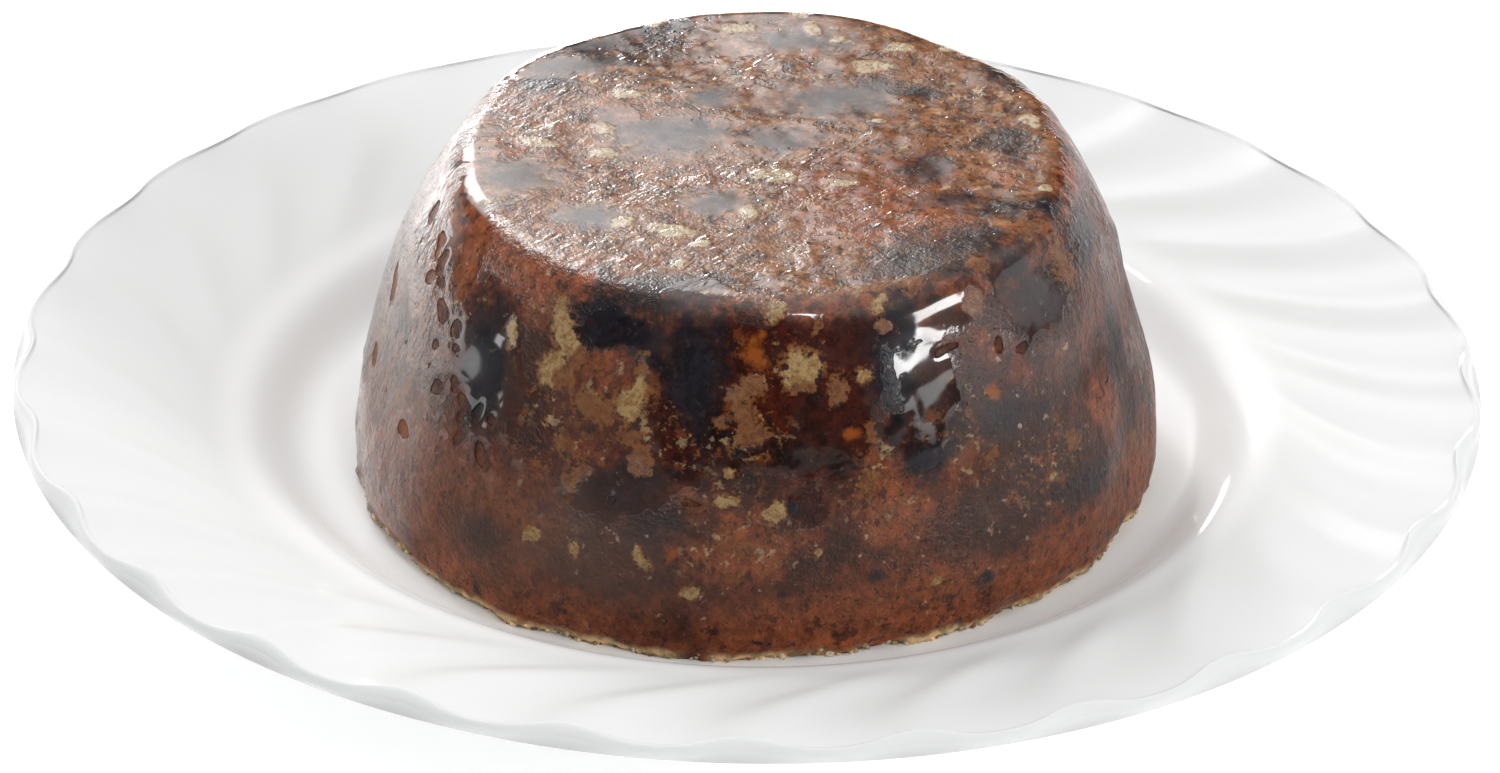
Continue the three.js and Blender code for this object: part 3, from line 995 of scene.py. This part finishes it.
def patch_masks(points, placed):
    """For each kind, 1 in the middle of its patches, 0.5 on their uneven outlines and 0 outside."""
    masks = {mix.kind: np.zeros(len(points)) for mix in UNSEEN}
    ragged = {mix.kind: mix.ragged for mix in UNSEEN}
    wobble = rough_noise(points, 3.2, 31)
    fine = rough_noise(points, 1.3, 37, 2)
    points = points + 0.8 * np.stack([noise(points, 2.6, seed) for seed in (41, 42, 43)], -1)
    for kind, middle, right, up, width, height in placed:
        offset = points - middle
        near = np.flatnonzero((offset**2).sum(1) < (1.1 * max(width, height)) ** 2)
        a = offset[near] @ right * 2 / width
        b = offset[near] @ up * 2 / height
        far = np.sqrt(a * a + b * b) + ragged[kind] * (0.5 * wobble[near] + 0.35 * fine[near])
        mask = np.clip(1 - far / 2, 0, 1)
        masks[kind][near] = np.maximum(masks[kind][near], mask)
    return masks


# Where each point of the pudding's skin is. x and above are millimetres, above the well's floor;
# angle, out and height are its place in the plain turning. The rest go from 0 to 1: how much it
# belongs to the top, the side, the two ends of what the photograph shows, and the edge's red band.
Region = namedtuple("Region", "points x above angle out height on_top side left right band")


def regions(points, normals, angle, out, height):
    """The Region of every point."""
    x = points[:, 0]
    above = points[:, 2] - FLOOR_HEIGHT
    on_top = smooth((normals[:, 2] - 0.75) * 5)
    side = 1 - on_top
    left = smooth((-x - 36 - 0.15 * (40 - above)) / 8) * side
    right = smooth((x - 34) / 12) * side
    # The band under the top edge, painted lighter and redder: painted light where the rounded edge turns
    # up.
    ragged = 1.2 * noise(points, 3.5, 72)
    band = smooth((out - TOP_RADIUS - 0.4 + ragged) / 2.2) * smooth((height - 42.6 + ragged) / 2.0)
    band = band * smooth(0.95 + 0.6 * noise(points, 7, 71))
    return Region(points, x, above, angle, out, height, on_top, side, left, right, band)


def syrup(at, masks):
    """The syrup's masks: where it lies smooth or clear, where it makes a film, and how wet it is."""
    low = smooth(1 - at.above / 14)
    rough = smooth(masks["rough"] * 2)
    calm = smooth(masks["smooth"] * (1.9 - 0.6 * at.on_top))
    clear = smooth((masks["clear"] - 0.5) * 9 + 0.5) * at.side
    film = 0.42 + 0.20 * noise(at.points, 7, 3) + 0.12 * noise(at.points, 2.5, 4)
    film = film - 0.2 * low + 0.16 * at.on_top
    film = np.clip(film + 0.8 * calm - 0.7 * rough + 0.3 * clear, 0, 1)
    film = np.clip(film + 0.3 * at.left * (1 - low), 0, 1)
    grey_right = smooth((at.x - 14) / 16) * at.side * smooth((at.above - 26) / 8)
    wet = 0.08 + at.on_top * (0.9 - 0.6 * smooth((at.x + 4) / 30)) + 0.85 * at.left + 0.3 * grey_right
    wet += 0.4 * calm - 0.25 * low
    wet += 0.22 * at.side * rough
    return {"smooth": calm, "clear": clear, "film": film, "wet": np.clip(wet, 0.05, 0.9)}


def top_streaks(at, calm):
    """Where the top has its fine ridges: in drifts, and less of them to the right."""
    x, y, _ = at.points.T
    across = x * 0.8 + y * 0.5
    drift = np.stack([x + 0.4 * y, 2.2 * (y - 0.4 * x), 0 * across], -1)
    return at.on_top * smooth(0.62 - across / 60 + 0.9 * rough_noise(drift, 9, 51, 2)) * (1 - 0.9 * calm)


def skin_relief(at, masks, skin):
    """How far, in millimetres, each point stands out from the plain form."""
    relief = 0.10 * noise(at.points, 4, 5) + 0.05 * noise(at.points, 1.6, 6)
    relief += 0.07 * (1 - skin["film"]) * at.side * rough_noise(at.points, 1.5, 8, 2)
    relief += 0.25 * smooth((42 - at.height) / 6) * smooth(masks["raisin"] * 1.6)
    relief += 0.12 * smooth((masks["nut"] + masks["toasted"]) * 3 - 1)
    relief *= 1 - 0.8 * skin["smooth"]
    relief -= 0.15 * smooth((masks["pit"] - 0.5) * 4 + 0.5) * (masks["pit"] > 0)
    # Fine pleats run over the edge, at the left.
    pleat_place = np.stack([at.angle * TOP_RADIUS / 1.1, at.height / 6, 0 * at.angle], -1)
    at_rim = smooth(1 - np.abs(at.out - TOP_RADIUS - 2) / 3.0) * smooth((at.height - 38) / 6)
    at_rim *= smooth((-at.x - 14) / 14)
    relief += 0.04 * at_rim * noise(pleat_place, 1, 61)
    # The foot is ragged, and clear syrup lies a little lower than the crumb around it.
    relief += smooth(1 - at.above / 3.0) * 0.45 * rough_noise(at.points, 1.3, 12, 2)
    relief -= 0.14 * skin["clear"] * smooth((27 - at.above) / 5)
    return relief * np.where(at.height > 0, 1, 0)


def amber_share(at, masks):
    """Where the crumb is amber: in its patches, at the foot as painted light, and low at the right and
    left.
    """
    amber = 0.7 * smooth(masks["amber"] * 2)
    # paler amber at the foot: painted light, for the light that the plate throws into it
    amber = amber + 0.45 * smooth(1 - at.above / 4) * smooth(0.5 + noise(at.points, 4, 22))
    lower_right = 0.75 * smooth((at.x - 2) / 14) * smooth((16 - at.above) / 8)
    lower_left = 0.95 * smooth((-at.x - 2) / 28) * smooth((24 - at.above) / 10)
    clouds = 0.75 + 0.4 * noise(at.points, 5, 24)
    return np.clip(np.maximum(amber, (lower_right + lower_left) * clouds), 0, 1)


def skin_colours(at, masks, skin):
    """The masks for the skin's colours, and for how upright its syrup runs."""
    clear = skin["clear"]
    rough = smooth(masks["rough"] * 2)
    # The pale line along the foot: painted light, for the light that the plate throws into it.
    line = smooth(1 - np.abs(at.above - 0.5) / (1.5 + 0.6 * noise(at.points, 2.2, 23)))
    line = line * smooth(0.75 + noise(at.points, 6, 21))
    # A pale sheen painted over the side as painted reflection, strongest low at the left; the same mask
    # makes the syrup rougher.
    haze = at.side * (1 - clear) * (1 - 0.4 * at.left) * (0.7 + 0.3 * noise(at.points, 6, 81))
    haze = haze * smooth((at.above - 2) / 6)
    haze *= 1 + 2.6 * smooth((-at.x - 6) / 18) * smooth((26 - at.above) / 10)
    crowd = 0.12 + 0.60 * at.on_top - 0.3 * at.band + 0.5 * smooth(masks["crowd"] * 2) - 0.1 * clear
    upright = 0.8 * (at.left + at.right) * (0.65 + 0.6 * noise(at.points, 9, 91))
    return {
        "upright": np.clip(upright, 0, 1),
        "haze": np.clip(haze, 0, 3.2),
        "pale": np.maximum(at.on_top * (1 - at.band), 0.55 * at.left),
        "band": at.band,
        "raisin": masks["raisin"],
        "nut": np.maximum(masks["nut"], masks["toasted"]),
        "toasted": np.where(masks["toasted"] >= masks["nut"], 0.85, 0.0),
        "peel": masks["peel"],
        "amber": amber_share(at, masks),
        "red": smooth(masks["red"] * 2),
        "deep": smooth(masks["deep"] * 2),
        "pit": masks["pit"],
        "crowd": np.clip(crowd, 0, 1),
        "foot_line": 0.9 * line,
        # where a paler line is painted along the clear syrup's edges: painted sheen
        "shore": 4 * clear * (1 - clear) * smooth((25 - at.above) / 5),
        # where pale flecks are painted as glints: painted highlights
        "sparkle": at.side * (0.15 + 0.6 * rough) * (1 - 0.6 * clear),
    }


def build_pudding():
    angle, radius, height, faces = pudding_grid()
    points = slumped(angle, radius, height)
    normals = vertex_normals(points, faces)
    masks = patch_masks(points, place_patches(points, normals, faces))
    at = regions(points, normals, angle, np.abs(radius), height)
    skin = syrup(at, masks)
    skin["streak"] = 0.5 * top_streaks(at, skin["smooth"])

    outwards = normals.copy()
    outwards[at.above < FOOT_REACH, 2] = 0
    points = points + outwards * skin_relief(at, masks, skin)[:, None]
    points[:, 2] = np.minimum(points[:, 2], HIGHEST)
    skin.update(skin_colours(at._replace(points=points, x=points[:, 0]), masks, skin))

    pudding = make_object("christmas_pudding", points, faces.tolist(), pudding_material(), skin)
    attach(pudding, "root")
    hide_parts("pudding")


# ---- grains along the foot

GRAINS = 900
GRAIN_SIZES = (0.25, 0.75)
GRAIN_LUMPS = 0.25  # share of its size that a grain's surface is moved by
HIGHEST_GRAIN = 1.2


def build_granules():
    """Grains of crumb along the ragged foot, pressed into it and onto the plate."""
    draw = np.random.default_rng(5)
    ball = bmesh.new()
    bmesh.ops.create_icosphere(ball, subdivisions=2, radius=1)
    unit = np.array([vertex.co for vertex in ball.verts])
    corners = [[vertex.index for vertex in face.verts] for face in ball.faces]
    ball.free()
    points, faces, shades = [], [], []
    angles = draw.uniform(0, 2 * pi, GRAINS)
    sizes = draw.uniform(*GRAIN_SIZES, GRAINS) * draw.uniform(0.6, 1.0, GRAINS)
    heights = draw.uniform(0.1, 1.0, GRAINS) ** 2 * HIGHEST_GRAIN
    foot = slumped(angles, np.full(GRAINS, PUDDING_BASE * SIDE[0][0]), heights)
    for i, (angle, size) in enumerate(zip(angles, sizes)):
        lumps = GRAIN_LUMPS * rough_noise(unit * 1.2 + 7 * i, 1.0, 90, 2)
        stretch = draw.uniform(0.6, 1.0, 3)
        out = np.array([cos(angle), sin(angle), 0])
        middle = foot[i] + out * draw.uniform(-0.1, 0.6) * size
        middle[2] = max(middle[2], FLOOR_HEIGHT + 0.6 * size * stretch[2])
        faces += [[corner + i * len(unit) for corner in face] for face in corners]
        points.append(middle + unit * (1 + lumps)[:, None] * stretch * size)
        shades.append(np.full(len(unit), draw.uniform()))
    shade = {"shade": np.concatenate(shades)}
    granules = make_object("foot_granules", np.vstack(points), faces, granule_material(), shade)
    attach(granules, "root")


# ---- studio

FLOOR_SIZE = 8000
FLOOR_CELLS = 8
# Soft-edged panels in the studio's sky. Angles are degrees: azimuth from the back (+Y) towards +X,
# elevation above the floor, half of the width and of the height, and how far each edge fades out.
Panel = namedtuple("Panel", "azimuth elevation wide high fade_across fade_up strength")
AMBIENT = 0.13
PANELS = [
    Panel(20, 86, 24, 24, 44, 44, 1.31),  # the studio's ceiling
    Panel(-22, 34, 14, 6, 9.5, 6, 3.15),  # a soft box behind, at the left
    Panel(-22, 30, 8, 6, 5, 4, 6.5),  # its bright middle
    Panel(-10.5, 3.6, 5.5, 1.6, 1, 0.6, 28.0),  # a low strip behind
    Panel(-10.5, 7.4, 5.5, 0.4, 1, 0.4, 28.0),  # and a thin one above it
    Panel(120, 24, 8, 4, 1.5, 1.5, 20.0),  # a window at the front right
    Panel(122, 9, 3, 2, 2, 2, 4.0),  # and its lower part
    Panel(80, 11, 10, 5, 5, 4, 1.0),  # the pale wall on the right
    Panel(-94, 6, 1.0, 1.6, 0.6, 0.6, 9.0),  # a window on the left
    Panel(-47, 4, 14, 8, 8, 8, 0.8),  # the pale wall at the back left
    Panel(148, 58, 2.5, 1.2, 1, 1, 45.0),  # a lamp above the front
    Panel(-32, 49, 2.2, 2.2, 1.2, 1.2, 60.0),  # a lamp that makes the glints on the top
]


def add_world():
    world = bpy.data.worlds.new("studio")
    world.use_nodes = True
    nodes = Nodes(world.node_tree, "Generated")

    def fade(axis, half, edge):
        """1 within half degrees of the panel's middle, and 0 from half + edge degrees on."""
        outer = sin(radians(half + edge))
        inner = sin(radians(half))
        distance = nodes.math("ABSOLUTE", nodes.along(axis))
        return nodes.between(distance, outer, inner, curve="SMOOTHERSTEP")

    total = AMBIENT
    for panel in PANELS:
        azimuth, elevation = radians(panel.azimuth), radians(panel.elevation)
        level = Vector((sin(azimuth), cos(azimuth), 0))
        middle = level * cos(elevation) + Vector((0, 0, sin(elevation)))
        right = Vector((cos(azimuth), -sin(azimuth), 0))
        across = fade(right, panel.wide, panel.fade_across)
        up = fade(right.cross(middle), panel.high, panel.fade_up)
        ahead = nodes.math("GREATER_THAN", nodes.along(middle), 0.0)
        total = nodes.sum(nodes.times(across, up, ahead, panel.strength), total)
    background = nodes.add("ShaderNodeBackground", {"Strength": total}).outputs["Background"]
    nodes.add("ShaderNodeOutputWorld", {"Surface": background})
    bpy.context.scene.world = world


def floor_material():
    """A pale floor that glows like a lit backdrop, more so towards the back left."""
    look = Shader("pale_floor")
    look.set(
        base_color=look.mix(look.noise(160), (0.90, 0.90, 0.90), (0.93, 0.93, 0.93)),
        roughness=0.7,
        emission_color=(1, 1, 1, 1),
        emission_strength=look.between(look.along((-0.75, 0.66, 0)), 0.12, 0.22, 0.37, 2.1),
    )
    return look.material


def add_floor():
    steps = np.linspace(-FLOOR_SIZE / 2, FLOOR_SIZE / 2, FLOOR_CELLS + 1)
    points = [(x, y, 0) for y in steps for x in steps]
    n = len(steps)
    starts = [row * n + column for row in range(FLOOR_CELLS) for column in range(FLOOR_CELLS)]
    faces = [[at, at + 1, at + n + 1, at + n] for at in starts]
    make_object("floor", points, faces, floor_material())


add_camera()
add_world()
add_floor()
build_plate()
build_pudding()
build_granules()

scene = bpy.context.scene
scene.view_settings.view_transform = "Standard"
scene.view_settings.look = "None"
